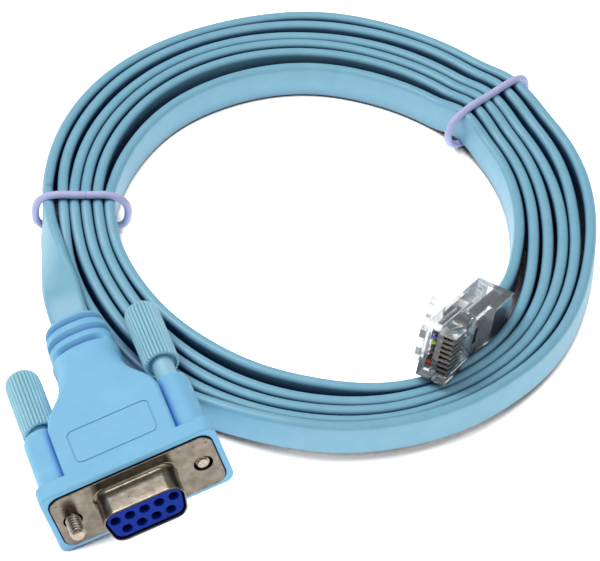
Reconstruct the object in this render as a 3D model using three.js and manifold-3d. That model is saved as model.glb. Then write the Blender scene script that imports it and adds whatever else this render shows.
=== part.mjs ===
import * as THREE from 'three';
import { mergeVertices } from 'three/addons/utils/BufferGeometryUtils.js';
import Module from 'manifold-3d';

// A flat serial console cable: a 9-way D connector on one end, an 8-way modular
// plug on the other, and the flat cable between them wound on edge into a ring
// that two soft ties hold. All values in mm, floor at z = 0.

const wasm = await Module();
wasm.setup();

// ---- placement of the two connectors over the floor ----
// The first three vectors of each are its local X, Y, Z; the last is its origin.
const ORIGIN = [-8.7225, -51.2757, 0];
const DSUB = {
  x: [0.91605, 0.31174, 0.25231], y: [-0.30243, 0.95014, -0.07592],
  t: [-30.15, -72.595, 11.237],
};
const PLUG = {
  x: [0.462, 0.817, -0.344], y: [0.864, -0.502, -0.032],
  t: [21.65, -39.33, 19.95],
};

// ---- cable ----
const RIBBON_W = 7.4;
const RIBBON_T = 2.2;
const COIL_C = [1.5, 1.0];
const COIL_K = 1.0076;
const STEP_DEG = 15;
// Centre radius of the outermost strand, the innermost one and the last one, every
// 15 degrees, counted clockwise from the left.
const R_OUTER = [50.8, 52.8, 54.65, 55.6, 55.65, 55.35, 55.15, 53.8, 52.4, 51.6, 51.5, 51.6,
  51.8, 52.4, 54.05, 55.6, 56.6, 56.7, 55.7, 53.45, 52.0, 49.9, 48.35, 47.8, 47.95];
const R_FIFTH = [41.5, 42.8, 44.2, 45.1, 45.3, 45.0, 44.1, 42.9, 41.85, 41.05, 40.4, 40.35,
  40.75, 42.6, 45.3, 48.2, 48.5, 46.4, 44.2, 41.95, 40.1, 39.2, 38.9, 39.0, 39.3];
const R_SIXTH = [39.3, 39.85, 40.3, 40.8, 40.85, 40.7, 40.2, 39.2, 38.6, 38.35, 38.2, 38.1,
  38.3, 38.9, 39.4, 39.6];
const LEAD_OUT_DEG = 200;
const TIE_D = 1.5;
const NOTCH_H = 2.1;

// ---- 9-way connector ----
const FLANGE = { x: 16.7, z0: -7.4, z1: 7.5, y0: 0.35, y1: 3.9, r: 1.8 };
const BODY_HALF = 10.7;
const BODY_TOP = 7.45;
const BOSS = { x0: 9.9, x1: 16, z: 6, y1: 18.8 };
const PLATE = { w: 30.81, h: 12.55, t: 1.0, r: 2.2 };
const SHELL = { w: 16.33, h: 7.9, out: 6.0, wall: 0.4, r: 2.6, slope: Math.tan(Math.PI / 18) };
const SCREW_X = 12.495;
const SCREW_HOLE_R = 1.8;
const PIN_PITCH = 2.77;
const ROW_Z = 1.42;
const INS = { front: -5.6, back: 6.0 };
const THREAD_R = 1.42;
const SLEEVE_R = 1.75;
const NECK_R = 2.0;
const NECK_LEN = 14.2;
const BORE_R = 2.3;
const KNOB_R = 3.35;
const KNOB_LEN = 15.6;
const SCREW_SHIFT = 4.1;
const KNOB_FRONT = 22.3;
const TIP_LEFT = -4.15;
const BOOT = { y0: 32.6, y1: 44.0, a: 5.5, b: 4.2 };

// ---- 8-way plug ----
const PW = 11.68;
const PL = 21.46;
const H_NOSE = 5.85;
const H_REAR = 7.45;
const S_REAR = 13.4;
const CONTACT_PITCH = 1.02;
const WIRE_H = 1.75;
const WIRE_R = 0.43;

const rad = (d) => (d * Math.PI) / 180;

function cross(a, b) {
  return new THREE.Vector3().crossVectors(new THREE.Vector3(...a), new THREE.Vector3(...b));
}

function placement(p) {
  const x = new THREE.Vector3(...p.x).normalize();
  const y = new THREE.Vector3(...p.y);
  y.addScaledVector(x, -y.dot(x)).normalize();
  const z = new THREE.Vector3().crossVectors(x, y);
  const m = new THREE.Matrix4().makeBasis(x, y, z);
  m.setPosition(p.t[0] - ORIGIN[0], p.t[1] - ORIGIN[1], p.t[2] - ORIGIN[2]);
  return m;
}

function clean(geo) {
  const g = geo.clone();
  for (const n of Object.keys(g.attributes)) if (n !== 'position') g.deleteAttribute(n);
  return mergeVertices(g, 1e-5);
}

function solid(geo) {
  const g = clean(geo);
  const idx = g.index.array;
  const tris = [];
  for (let i = 0; i < idx.length; i += 3) {
    if (idx[i] !== idx[i + 1] && idx[i + 1] !== idx[i + 2] && idx[i] !== idx[i + 2]) {
      tris.push(idx[i], idx[i + 1], idx[i + 2]);
    }
  }
  return new wasm.Manifold(new wasm.Mesh({
    numProp: 3,
    vertProperties: new Float32Array(g.attributes.position.array),
    triVerts: new Uint32Array(tris),
  }));
}

function toGeometry(man) {
  const m = man.getMesh();
  const g = new THREE.BufferGeometry();
  const n = m.numProp;
  const pos = new Float32Array((m.vertProperties.length / n) * 3);
  for (let i = 0; i < pos.length / 3; i += 1) {
    pos[i * 3] = m.vertProperties[i * n];
    pos[i * 3 + 1] = m.vertProperties[i * n + 1];
    pos[i * 3 + 2] = m.vertProperties[i * n + 2];
  }
  g.setAttribute('position', new THREE.BufferAttribute(pos, 3));
  g.setIndex(new THREE.BufferAttribute(new Uint32Array(m.triVerts), 1));
  return g;
}

const union = (list) => list.reduce((a, b) => a.add(b));
const cut = (a, list) => list.reduce((p, b) => p.subtract(b), a);

function polyShape(pts) {
  return new THREE.Shape(pts.map(([x, y]) => new THREE.Vector2(x, y)));
}

function roundedRect(x0, x1, y0, y1, r, n = 4) {
  const pts = [];
  const c = [[x1 - r, y1 - r, 0], [x0 + r, y1 - r, 90], [x0 + r, y0 + r, 180], [x1 - r, y0 + r, 270]];
  for (const [cx, cy, a0] of c) {
    for (let i = 0; i <= n; i += 1) {
      const a = rad(a0 + (90 * i) / n);
      pts.push([cx + r * Math.cos(a), cy + r * Math.sin(a)]);
    }
  }
  return pts;
}

// The D outline: wide row on top, sides sloping in to the narrow row.
function dOutline(w, h, r, n = 5) {
  const hb = w / 2 - h * SHELL.slope;
  const c = [[w / 2, h / 2], [-w / 2, h / 2], [-hb, -h / 2], [hb, -h / 2]];
  const pts = [];
  for (let i = 0; i < 4; i += 1) {
    const p = new THREE.Vector2(...c[i]);
    const a = new THREE.Vector2(...c[(i + 3) % 4]).sub(p).normalize();
    const b = new THREE.Vector2(...c[(i + 1) % 4]).sub(p).normalize();
    const half = Math.acos(a.dot(b)) / 2;
    const d = r / Math.sin(half);
    const mid = a.clone().add(b).normalize().multiplyScalar(d).add(p);
    const s = a.clone().multiplyScalar(r / Math.tan(half)).add(p).sub(mid);
    const e = b.clone().multiplyScalar(r / Math.tan(half)).add(p).sub(mid);
    let a0 = Math.atan2(s.y, s.x);
    let a1 = Math.atan2(e.y, e.x);
    if (a1 < a0) a1 += 2 * Math.PI;
    for (let k = 0; k <= n; k += 1) {
      const t = a0 + ((a1 - a0) * k) / n;
      pts.push([mid.x + r * Math.cos(t), mid.y + r * Math.sin(t)]);
    }
  }
  return pts;
}

// A prism along local Y from y0 to y1 over an outline in X and Z.
function prismY(pts, y0, y1) {
  const g = new THREE.ExtrudeGeometry(polyShape(pts), { depth: y1 - y0, bevelEnabled: false, steps: 1 });
  g.rotateX(Math.PI / 2);
  g.translate(0, y1, 0);
  return solid(g);
}

// A prism along local Z over an outline in X and Y.
function prismZ(pts, z0, z1) {
  const g = new THREE.ExtrudeGeometry(polyShape(pts), { depth: z1 - z0, bevelEnabled: false, steps: 1 });
  g.translate(0, 0, z0);
  return solid(g);
}

// A prism along local X over an outline in Y and Z.
function prismX(pts, x0, x1) {
  const g = new THREE.ExtrudeGeometry(polyShape(pts), { depth: x1 - x0, bevelEnabled: false, steps: 1 });
  g.applyMatrix4(new THREE.Matrix4().set(0, 0, 1, x0, 1, 0, 0, 0, 0, 1, 0, 0, 0, 0, 0, 1));
  return solid(g);
}

function box(x0, x1, y0, y1, z0, z1) {
  const g = new THREE.BoxGeometry(x1 - x0, y1 - y0, z1 - z0);
  g.translate((x0 + x1) / 2, (y0 + y1) / 2, (z0 + z1) / 2);
  return solid(g);
}

function lathe(profile, seg) {
  return new THREE.LatheGeometry(profile.map(([r, y]) => new THREE.Vector2(r, y)), seg);
}

function cylY(r, y0, y1, x, z, seg = 20) {
  const g = new THREE.CylinderGeometry(r, r, y1 - y0, seg);
  g.translate(x, (y0 + y1) / 2, z);
  return solid(g);
}

// A closed outline swept along a run of frames: at(t) gives centre, across, up.
function sweep(outline, steps, at) {
  const g = new THREE.ExtrudeGeometry(polyShape(outline), { depth: 1, bevelEnabled: false, steps });
  const p = g.attributes.position;
  for (let i = 0; i < p.count; i += 1) {
    const { c, a, b } = at(Math.min(1, Math.max(0, p.getZ(i))));
    const x = p.getX(i);
    const y = p.getY(i);
    p.setXYZ(i, c.x + a.x * x + b.x * y, c.y + a.y * x + b.y * y, c.z + a.z * x + b.z * y);
  }
  return g;
}

function ringAt(table, deg) {
  const f = deg / STEP_DEG;
  const i = Math.min(table.length - 2, Math.floor(f));
  const get = (k) => table[Math.max(0, Math.min(table.length - 1, k))];
  const t = f - i;
  const [p0, p1, p2, p3] = [get(i - 1), get(i), get(i + 1), get(i + 2)];
  return COIL_K * 0.5 * (2 * p1 + (p2 - p0) * t + (2 * p0 - 5 * p1 + 4 * p2 - p3) * t * t
    + (3 * p1 - p0 - 3 * p2 + p3) * t * t * t);
}

function polar(deg, r) {
  const a = Math.PI - rad(deg);
  return [COIL_C[0] + r * Math.cos(a) - ORIGIN[0], COIL_C[1] + r * Math.sin(a) - ORIGIN[1]];
}

const group = new THREE.Group();
group.name = 'console_cable';

function add(name, geo, color, matrix, extra = {}) {
  const g = clean(geo);
  if (matrix) g.applyMatrix4(matrix);
  g.computeVertexNormals();
  const mesh = new THREE.Mesh(g, new THREE.MeshStandardMaterial({ color, roughness: 0.5, ...extra }));
  mesh.name = name;
  group.add(mesh);
  return mesh;
}

const BLUE = 0x86c5e8;
const CABLE = 0x8fc3d8;
const METAL = 0xa89f94;
const GOLD = 0xc9a04a;

// ================= 9-way connector =================
const dsub = placement(DSUB);

{
  const flange = prismY(roundedRect(-FLANGE.x, FLANGE.x, FLANGE.z0, FLANGE.z1, FLANGE.r), FLANGE.y0, FLANGE.y1);
  const outline = [[-BODY_HALF, 3], [BODY_HALF, 3], [BODY_HALF, 16.4], [10.3, 18], [9.6, 19.3], [8.8, 20.6],
    [7.9, 22], [7.2, 23.4], [6.7, 24.8], [6.4, 26.4], [6.2, 28.5], [6.2, 32], [5.8, 33],
    [-5.8, 33], [-6.2, 32], [-6.2, 28.5], [-6.4, 26.4], [-6.7, 24.8], [-7.2, 23.4], [-7.9, 22], [-8.8, 20.6],
    [-9.6, 19.3], [-10.3, 18], [-BODY_HALF, 16.4]];
  const side = [[3, -BODY_TOP], [20, -BODY_TOP], [25, -7.2], [29, -6.5], [33, -5.6], [33, 5.6], [29, 6.5],
    [25, 7.2], [20, BODY_TOP], [3, BODY_TOP]];
  const body = prismZ(outline, -8, 8).intersect(prismX(side, -12, 12));
  const bossPts = (s) => roundedRect(Math.min(s * BOSS.x0, s * BOSS.x1), Math.max(s * BOSS.x0, s * BOSS.x1),
    -BOSS.z, BOSS.z, 2.6, 5);
  const boss = [1, -1].map((s) => prismY(bossPts(s), 3, BOSS.y1));
  const g = 0.45;
  const boot = lathe([[0, BOOT.y0], [5.5, BOOT.y0], [5.5, 34.7], [5.5 - g, 34.9], [5.5 - g, 35.5], [5.5, 35.7],
    [5.5, 37.8], [5.45 - g, 38.0], [5.4 - g, 38.6], [5.4, 38.8], [5.2, 41.5], [5.15 - g, 41.7], [5.1 - g, 42.3],
    [5.05, 42.5], [4.7, 43.6], [4.3, BOOT.y1], [0, BOOT.y1]], 28);
  boot.scale(1, 1, BOOT.b / BOOT.a);
  let hood = union([flange, body, ...boss, solid(boot)]);
  const px = PLATE.w / 2 + 0.3;
  const pz = PLATE.h / 2 + 0.3;
  const ring = prismZ(roundedRect(-7.9, 7.8, 4.9, 13.1, 1.2), BODY_TOP - 0.25, BODY_TOP + 1)
    .subtract(prismZ(roundedRect(-7.5, 7.4, 5.3, 12.7, 0.9), BODY_TOP - 1, BODY_TOP + 2));
  hood = cut(hood, [
    prismY(roundedRect(-px, px, -pz, pz, PLATE.r + 0.2), -2, PLATE.t + 0.3),
    prismY(dOutline(SHELL.w - 0.2, SHELL.h - 0.2, SHELL.r - 0.1), 0, INS.back + 0.4),
    cylY(BORE_R, -2, 24, SCREW_X, 0, 24),
    cylY(BORE_R, -2, 24, -SCREW_X, 0, 24),
    ring,
  ]);
  add('connector_hood', toGeometry(hood), BLUE, dsub);
}

{
  const plate = prismY(roundedRect(-PLATE.w / 2, PLATE.w / 2, -PLATE.h / 2, PLATE.h / 2, PLATE.r), 0, PLATE.t);
  const tube = prismY(dOutline(SHELL.w, SHELL.h, SHELL.r), -SHELL.out, 0.5);
  const foot = prismY(dOutline(SHELL.w + 0.7, SHELL.h + 0.7, SHELL.r + 0.35), -0.35, 0.5);
  const inner = prismY(dOutline(SHELL.w - 2 * SHELL.wall, SHELL.h - 2 * SHELL.wall, SHELL.r - SHELL.wall), -9, 3);
  const shell = cut(union([plate, tube, foot]), [inner,
    cylY(SCREW_HOLE_R, -3, 3, SCREW_X, 0, 24), cylY(SCREW_HOLE_R, -3, 3, -SCREW_X, 0, 24)]);
  add('dsub_shell', toGeometry(shell), METAL, dsub, { metalness: 0.9, roughness: 0.35 });
}

const holes = [];
for (let i = 0; i < 5; i += 1) holes.push([(i - 2) * PIN_PITCH, ROW_Z]);
for (let i = 0; i < 4; i += 1) holes.push([(i - 1.5) * PIN_PITCH, -ROW_Z]);
{
  const gap = SHELL.wall + 0.3;
  const block = prismY(dOutline(SHELL.w - 2 * gap, SHELL.h - 2 * gap, SHELL.r - gap), INS.front, INS.back);
  const bores = holes.map(([x, z]) => cylY(0.8, INS.front - 1, INS.back + 1, x, z, 14));
  add('socket_insulator', toGeometry(cut(block, bores)), 0x0a3fb0, dsub);
  holes.forEach(([x, z], i) => {
    const g = lathe([[0.32, -4.9], [0.52, -4.9], [0.52, 5.8], [0, 5.8], [0, 1.0], [0.32, 1.0], [0.32, -4.9]], 10);
    g.translate(x, 0, z);
    add(`socket_contact_${i + 1}`, g, GOLD, dsub, { metalness: 0.9 });
  });
}

for (const [side, x, shift] of [['left', -SCREW_X, 0], ['right', SCREW_X, SCREW_SHIFT]]) {
  const tip = TIP_LEFT + shift;
  const f = KNOB_FRONT + shift;
  const back = f + KNOB_LEN;
  const screw = lathe([[0, tip], [1.05, tip], [THREAD_R, tip + 0.4], [THREAD_R, f + 8], [0, f + 8]], 20);
  screw.translate(x, 0, 0);
  add(`thumbscrew_${side}_screw`, screw, METAL, dsub, { metalness: 0.9, roughness: 0.4 });
  const neck = f - NECK_LEN;
  const knob = lathe([[SLEEVE_R, neck], [NECK_R, neck], [NECK_R, f + 0.6], [2.75, f + 0.6], [KNOB_R, f], [KNOB_R, back - 3.4],
    [3.15, back - 2.0], [2.6, back - 0.9], [1.6, back - 0.2], [0, back], [0, f + 8.4], [SLEEVE_R, f + 8.4], [SLEEVE_R, neck]], 28);
  knob.translate(x, 0, 0);
  add(`thumbscrew_${side}_knob`, knob, BLUE, dsub);
}

// ================= cable =================
{
  const half = (RIBBON_T / 2) * COIL_K;
  const outer = [];
  for (let d = 0; d <= 356; d += 4) outer.push(polar(d, ringAt(R_OUTER, d) + half));
  outer.push(polar(358, ringAt(R_OUTER, 358) + half));
  outer.push(polar(359.6, ringAt(R_OUTER, 359.6) + half));
  const inner = [];
  for (let d = 0; d <= LEAD_OUT_DEG; d += 5) inner.push(polar(d, ringAt(R_SIXTH, d) - half));
  inner.push(polar(LEAD_OUT_DEG + 0.5, ringAt(R_FIFTH, LEAD_OUT_DEG + 0.5) - half));
  for (let d = LEAD_OUT_DEG + 5; d <= 355; d += 5) inner.push(polar(d, ringAt(R_FIFTH, d) - half));
  let coil = prismZ(outer.reverse(), 0, RIBBON_W).subtract(prismZ(inner.reverse(), -1, RIBBON_W + 1));
  // Room for the two ties under the bundle.
  const notch = (deg, off) => {
    const g = new THREE.BoxGeometry(30, TIE_D + 0.8, NOTCH_H * 2);
    const a = 180 - deg;
    g.rotateZ(rad(a));
    const [x, y] = polar(deg, 46);
    g.translate(x, y + off, 0);
    return solid(g);
  };
  // The plug's lower edge presses into the inner strands.
  const press = new THREE.BoxGeometry(S_REAR + 1, 8, 10);
  press.translate(S_REAR / 2, H_NOSE + 0.35 - 4, PW + 0.35 - 5);
  press.applyMatrix4(placement(PLUG));
  coil = cut(coil, [notch(0, 1.6), notch(139, 0), solid(press)]);
  add('cable_coil', toGeometry(coil), CABLE);
}

const section = roundedRect(-RIBBON_W / 2, RIBBON_W / 2, -RIBBON_T / 2, RIBBON_T / 2, 1.0, 2);

// The lead at the 9-way end leaves the boot lying flat and twists until it stands on edge.
// Each row is a centre point and the direction of the cable's width there.
const LEAD = [
  [[-45.05, -26.0, 8.15], [0.915, 0.312, 0.255]],
  [[-46.35, -20.9, 7.9], [0.89, 0.315, 0.33]],
  [[-47.2, -17.5, 7.15], [0.8, 0.29, 0.52]],
  [[-48.0, -13.94, 6.45], [0.64, 0.2, 0.742]],
  [[-48.7, -10.41, 5.95], [0.5, 0.128, 0.856]],
  [[-49.3, -6.93, 5.45], [0.352, 0.094, 0.931]],
  [[-49.95, -3.37, 4.85], [0.2, 0.055, 0.97]],
  [[-50.15, 0.2, 4.2], [0.04, 0, 1]],
];
{
  const p = (x, y, z) => new THREE.Vector3(x, y, z).applyMatrix4(dsub);
  const e = new THREE.Matrix4().extractRotation(dsub).elements;
  const a0 = new THREE.Vector3(e[0], e[1], e[2]);
  const at = LEAD.map(([c]) => new THREE.Vector3(c[0] - ORIGIN[0], c[1] - ORIGIN[1], c[2]));
  const curve = new THREE.CatmullRomCurve3([p(0, BOOT.y1 + 0.3, 0), ...at], false, 'centripetal');
  const wide = new THREE.CatmullRomCurve3([a0, ...LEAD.map(([, w]) => new THREE.Vector3(...w))], false, 'catmullrom');
  const g = sweep(section, 18, (t) => {
    const c = curve.getPoint(t);
    const tan = curve.getTangent(t).normalize();
    const w = wide.getPoint(t);
    w.addScaledVector(tan, -w.dot(tan)).normalize();
    return { c, a: w, b: new THREE.Vector3().crossVectors(tan, w) };
  });
  add('cable_lead_connector', g, CABLE);
}

const plug = placement(PLUG);
{
  const p = (s, h, r) => new THREE.Vector3(s, h, r).applyMatrix4(plug);
  const q = (deg, z) => {
    const [x, y] = polar(deg, ringAt(R_SIXTH, deg));
    return new THREE.Vector3(x, y, z);
  };
  const curve = new THREE.CatmullRomCurve3([
    q(LEAD_OUT_DEG + 0.6, RIBBON_W / 2 + 0.1), q(LEAD_OUT_DEG + 4, RIBBON_W / 2 + 0.25),
    p(PL + 5, 3.5, PW / 2), p(PL + 0.35, 3.6, PW / 2)]);
  const e = plug.elements;
  const up1 = new THREE.Vector3(-e[8], -e[9], -e[10]);
  const g = sweep(section, 10, (t) => {
    const c = curve.getPoint(t);
    const tan = curve.getTangent(t).normalize();
    const w = new THREE.Vector3(0, 0, 1).lerp(up1, t);
    w.addScaledVector(tan, -w.dot(tan)).normalize();
    return { c, a: w, b: new THREE.Vector3().crossVectors(tan, w) };
  });
  add('cable_lead_plug', g, CABLE);
}

// Each tie is a soft round cord passed once around the bundle, its ends meeting on top.
function tie(name, origin, dir, pts) {
  const curve = new THREE.CatmullRomCurve3(pts.map(([u, z]) => new THREE.Vector3(
    origin[0] + dir[0] * u, origin[1] + dir[1] * u, z)), false, 'centripetal');
  const n = new THREE.Vector3(-dir[1], dir[0], 0);
  const circle = [];
  for (let i = 0; i < 8; i += 1) circle.push([(TIE_D / 2) * Math.cos(rad(45 * i)), (TIE_D / 2) * Math.sin(rad(45 * i))]);
  const g = sweep(circle, 24, (t) => {
    const c = curve.getPoint(t);
    const tan = curve.getTangent(t).normalize();
    return { c, a: n, b: new THREE.Vector3().crossVectors(tan, n) };
  });
  add(name, g, 0xb6b8e4);
}
{
  const c = [COIL_C[0] - ORIGIN[0], COIL_C[1] + 1.6 - ORIGIN[1]];
  tie('tie_left', c, [-1, 0], [[45, 9.75], [50.5, 9.7], [53.2, 8.2], [54.1, 5], [53.6, 2.2], [51.6, 1.05], [46, 0.9],
    [40.5, 0.95], [37.0, 1.8], [36.2, 4.5], [36.7, 8.0], [39.2, 9.6], [43.2, 9.75]]);
  const a = rad(180 - 139);
  const c2 = [COIL_C[0] - ORIGIN[0], COIL_C[1] - ORIGIN[1]];
  tie('tie_right', c2, [Math.cos(a), Math.sin(a)], [[46, 9.5], [51.5, 9.4], [54.4, 8.3], [55.2, 5], [54.8, 2.2],
    [52.8, 1.1], [46, 0.9], [39.2, 0.95], [35.6, 2.0], [34.2, 4.5], [35.2, 7.8], [38.6, 9.3], [44.2, 9.5]]);
}

// ================= 8-way plug =================
{
  const nose = box(0, S_REAR + 1, 0, H_NOSE, 0, PW);
  const rear = prismZ([[S_REAR - 1.3, 3], [S_REAR, H_REAR], [PL, H_REAR], [PL, 0], [S_REAR - 3, 0]], 0, PW);
  const latchRoot = prismZ([[0.3, 0.3], [0.3, -1.3], [2.4, -1.95], [6.2, -3.0], [6.3, -2.0], [2.9, -0.75], [2.3, 0.3]], 2.7, 9.0);
  const latchTab = prismZ([[5.4, -2.75], [10.5, -4.4], [15.3, -5.95], [15.5, -5.0], [10.6, -3.4], [5.4, -1.6]], 4.2, 7.5);
  let body = union([nose, rear, latchRoot, latchTab]);
  const cuts = [
    box(9.6, PL + 1, 2.15, 5.35, PW / 2 - 4.1, PW / 2 + 4.1),
    box(-1, 10, WIRE_H - 0.62, WIRE_H + 0.62, PW / 2 - 4.25, PW / 2 + 4.25),
    box(7.6, 10.2, WIRE_H - 0.62, 3.9, PW / 2 - 4.1, PW / 2 + 4.1),
    box(-1, 12.3, 2.7, 3.15, -1, 0.6),
    box(-1, 12.3, 2.7, 3.15, PW - 0.6, PW + 1),
    box(9.4, 12.4, 5.3, 7, PW / 2 - 2.4, PW / 2 + 2.4),
  ];
  for (let i = 0; i < 8; i += 1) {
    const r = PW / 2 + (i - 3.5) * CONTACT_PITCH;
    cuts.push(box(-1, 5.4, 1.9, H_NOSE + 1, r - 0.3, r + 0.3));
  }
  body = cut(body, cuts);
  add('plug_body', toGeometry(body), 0xe6ecef, plug, { transparent: true, opacity: 0.5 });
  const wires = [0x4a4f5a, 0x5a5ec8, 0xb8c83c, 0x1f5a48, 0x8a3a6a, 0x1a1a1a, 0xc8483a, 0x6a5a50];
  for (let i = 0; i < 8; i += 1) {
    const r = PW / 2 + (i - 3.5) * CONTACT_PITCH;
    const blade = prismZ([[0.5, 2.55], [5.0, 2.55], [5.0, 4.9], [4.3, 5.35], [1.3, 5.35], [0.5, 4.6]], r - 0.15, r + 0.15);
    add(`contact_${i + 1}`, toGeometry(blade), GOLD, plug, { metalness: 0.9 });
    const wg = new THREE.CylinderGeometry(WIRE_R, WIRE_R, 9.2, 10);
    wg.rotateZ(Math.PI / 2);
    wg.translate(0.35 + 4.6, WIRE_H, r);
    add(`wire_${i + 1}`, wg, wires[i], plug);
  }
  const jacket = new THREE.ExtrudeGeometry(polyShape(roundedRect(-RIBBON_W / 2, RIBBON_W / 2, -RIBBON_T / 2,
    RIBBON_T / 2, 1.0, 3)), { depth: PL - 0.1 - 10.5, bevelEnabled: false, steps: 1 });
  jacket.rotateY(Math.PI / 2);
  jacket.translate(10.5, 3.75, PW / 2);
  add('cable_jacket_end', jacket, CABLE, plug);
}

export default group;
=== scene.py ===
import bpy
import bmesh
import math
import numpy as np
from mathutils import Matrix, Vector


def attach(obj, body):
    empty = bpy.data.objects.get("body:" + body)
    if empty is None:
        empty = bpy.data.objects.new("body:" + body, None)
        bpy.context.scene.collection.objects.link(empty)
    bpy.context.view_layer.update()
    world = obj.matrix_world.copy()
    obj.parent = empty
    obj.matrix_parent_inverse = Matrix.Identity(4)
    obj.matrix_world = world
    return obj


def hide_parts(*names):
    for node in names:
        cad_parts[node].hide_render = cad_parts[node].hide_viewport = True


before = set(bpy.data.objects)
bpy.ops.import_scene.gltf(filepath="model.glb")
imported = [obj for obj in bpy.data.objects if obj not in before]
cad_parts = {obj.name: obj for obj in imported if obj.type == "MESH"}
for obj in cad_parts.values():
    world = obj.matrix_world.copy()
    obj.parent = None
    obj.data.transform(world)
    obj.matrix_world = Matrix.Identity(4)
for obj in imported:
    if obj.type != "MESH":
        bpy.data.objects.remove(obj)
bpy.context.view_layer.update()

# Everything below is in millimetres in the layout frame of the cable on its floor;
# OFFSET takes it to the row frame, and S to metres.
S = 0.001
OFFSET = np.array([8.7225, 51.2757, 0.0])


def row(p):
    return (np.asarray(p, float) + OFFSET) * S


def unit(v):
    v = np.asarray(v, float)
    return v / np.linalg.norm(v)


class Place:
    """A connector's own axes in the layout frame."""

    def __init__(self, x, y, t):
        self.x = unit(x)
        y = np.asarray(y, float)
        self.y = unit(y - self.x * (y @ self.x))
        self.z = np.cross(self.x, self.y)
        self.t = np.asarray(t, float)

    def p(self, q):
        q = np.atleast_2d(np.asarray(q, float))
        return self.t + q[:, :1] * self.x + q[:, 1:2] * self.y + q[:, 2:3] * self.z

    def one(self, *q):
        return self.p(q)[0]


DSUB = Place([0.91605, 0.31174, 0.25231], [-0.30243, 0.95014, -0.07592], [-30.15, -72.595, 11.237])
PLUG = Place([0.462, 0.817, -0.344], [0.864, -0.502, -0.032], [21.65, -39.33, 19.95])
BODY = "cable"

# ------------------------------------------------------------------ camera
EL = math.radians(46.5)
CAM = np.array([-1.72, -462.64, 476.25])
cam_data = bpy.data.cameras.new("camera")
cam_data.sensor_width = 36.0
cam_data.sensor_fit = "HORIZONTAL"
cam_data.lens = 3445.0 * 36.0 / 600.0
cam_data.clip_start = 0.05
cam_data.clip_end = 20.0
cam = bpy.data.objects.new("camera", cam_data)
bpy.context.scene.collection.objects.link(cam)
cam.location = row(CAM)
cam.rotation_euler = (math.pi / 2 - EL, 0.0, 0.0)
bpy.context.scene.camera = cam
bpy.context.scene.view_settings.view_transform = "Standard"
bpy.context.scene.view_settings.look = "None"


# ------------------------------------------------------------------ materials
def srgb(r, g, b):
    out = []
    for c in (r, g, b):
        c = c / 255.0
        out.append(c / 12.92 if c <= 0.04045 else ((c + 0.055) / 1.055) ** 2.4)
    return (*out, 1.0)


def plastic(name, base, dark, rough=(0.4, 0.55), scale=900.0, bump=0.02, grain=4200.0, specular=0.5, coat=0.0, metallic=0.0, extra=None, painted_shade=None, reach=0.004, painted_shade_at=(0.15, 0.75)):
    """A moulded surface: two close tones over a soft noise, a fine grain in the bump and the gloss, and painted shade
    in narrow gaps and inner corners when a shade colour is given.
    """
    m = bpy.data.materials.new(name)
    m.use_nodes = True
    nt = m.node_tree
    b = nt.nodes["Principled BSDF"]
    tc = nt.nodes.new("ShaderNodeTexCoord")
    n1 = nt.nodes.new("ShaderNodeTexNoise")
    n1.inputs["Scale"].default_value = scale
    n1.inputs["Detail"].default_value = 4.0
    n1.inputs["Roughness"].default_value = 0.6
    nt.links.new(tc.outputs["Object"], n1.inputs["Vector"])
    ramp = nt.nodes.new("ShaderNodeValToRGB")
    ramp.color_ramp.elements[0].position = 0.3
    ramp.color_ramp.elements[1].position = 0.7
    ramp.color_ramp.elements[0].color = dark
    ramp.color_ramp.elements[1].color = base
    nt.links.new(n1.outputs["Fac"], ramp.inputs["Fac"])
    tone = ramp.outputs["Color"]
    if painted_shade is not None:
        # Painted shade: in narrow gaps and inner corners the base colour is mixed towards the given dark shade colour,
        # by ambient occlusion.
        ao = nt.nodes.new("ShaderNodeAmbientOcclusion")
        ao.inputs["Distance"].default_value = reach
        ao.samples = 8
        near = nt.nodes.new("ShaderNodeMapRange")
        near.inputs["From Min"].default_value = painted_shade_at[0]
        near.inputs["From Max"].default_value = painted_shade_at[1]
        nt.links.new(ao.outputs["AO"], near.inputs["Value"])
        mx = nt.nodes.new("ShaderNodeMix")
        mx.data_type = "RGBA"
        nt.links.new(near.outputs["Result"], mx.inputs["Factor"])
        mx.inputs[6].default_value = painted_shade
        nt.links.new(tone, mx.inputs[7])
        tone = mx.outputs[2]
    nt.links.new(tone, b.inputs["Base Color"])
    n2 = nt.nodes.new("ShaderNodeTexNoise")
    n2.inputs["Scale"].default_value = grain
    n2.inputs["Detail"].default_value = 3.0
    nt.links.new(tc.outputs["Object"], n2.inputs["Vector"])
    mr = nt.nodes.new("ShaderNodeMapRange")
    mr.inputs["To Min"].default_value = rough[0]
    mr.inputs["To Max"].default_value = rough[1]
    nt.links.new(n2.outputs["Fac"], mr.inputs["Value"])
    nt.links.new(mr.outputs["Result"], b.inputs["Roughness"])
    bp = nt.nodes.new("ShaderNodeBump")
    bp.inputs["Strength"].default_value = bump
    bp.inputs["Distance"].default_value = 0.0001
    nt.links.new(n2.outputs["Fac"], bp.inputs["Height"])
    nt.links.new(bp.outputs["Normal"], b.inputs["Normal"])
    b.inputs["Specular IOR Level"].default_value = specular
    b.inputs["Metallic"].default_value = metallic
    b.inputs["Coat Weight"].default_value = coat
    b.inputs["Coat Roughness"].default_value = 0.25
    if extra:
        extra(m, nt, b, tc, ramp, bp)
    return m


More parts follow.
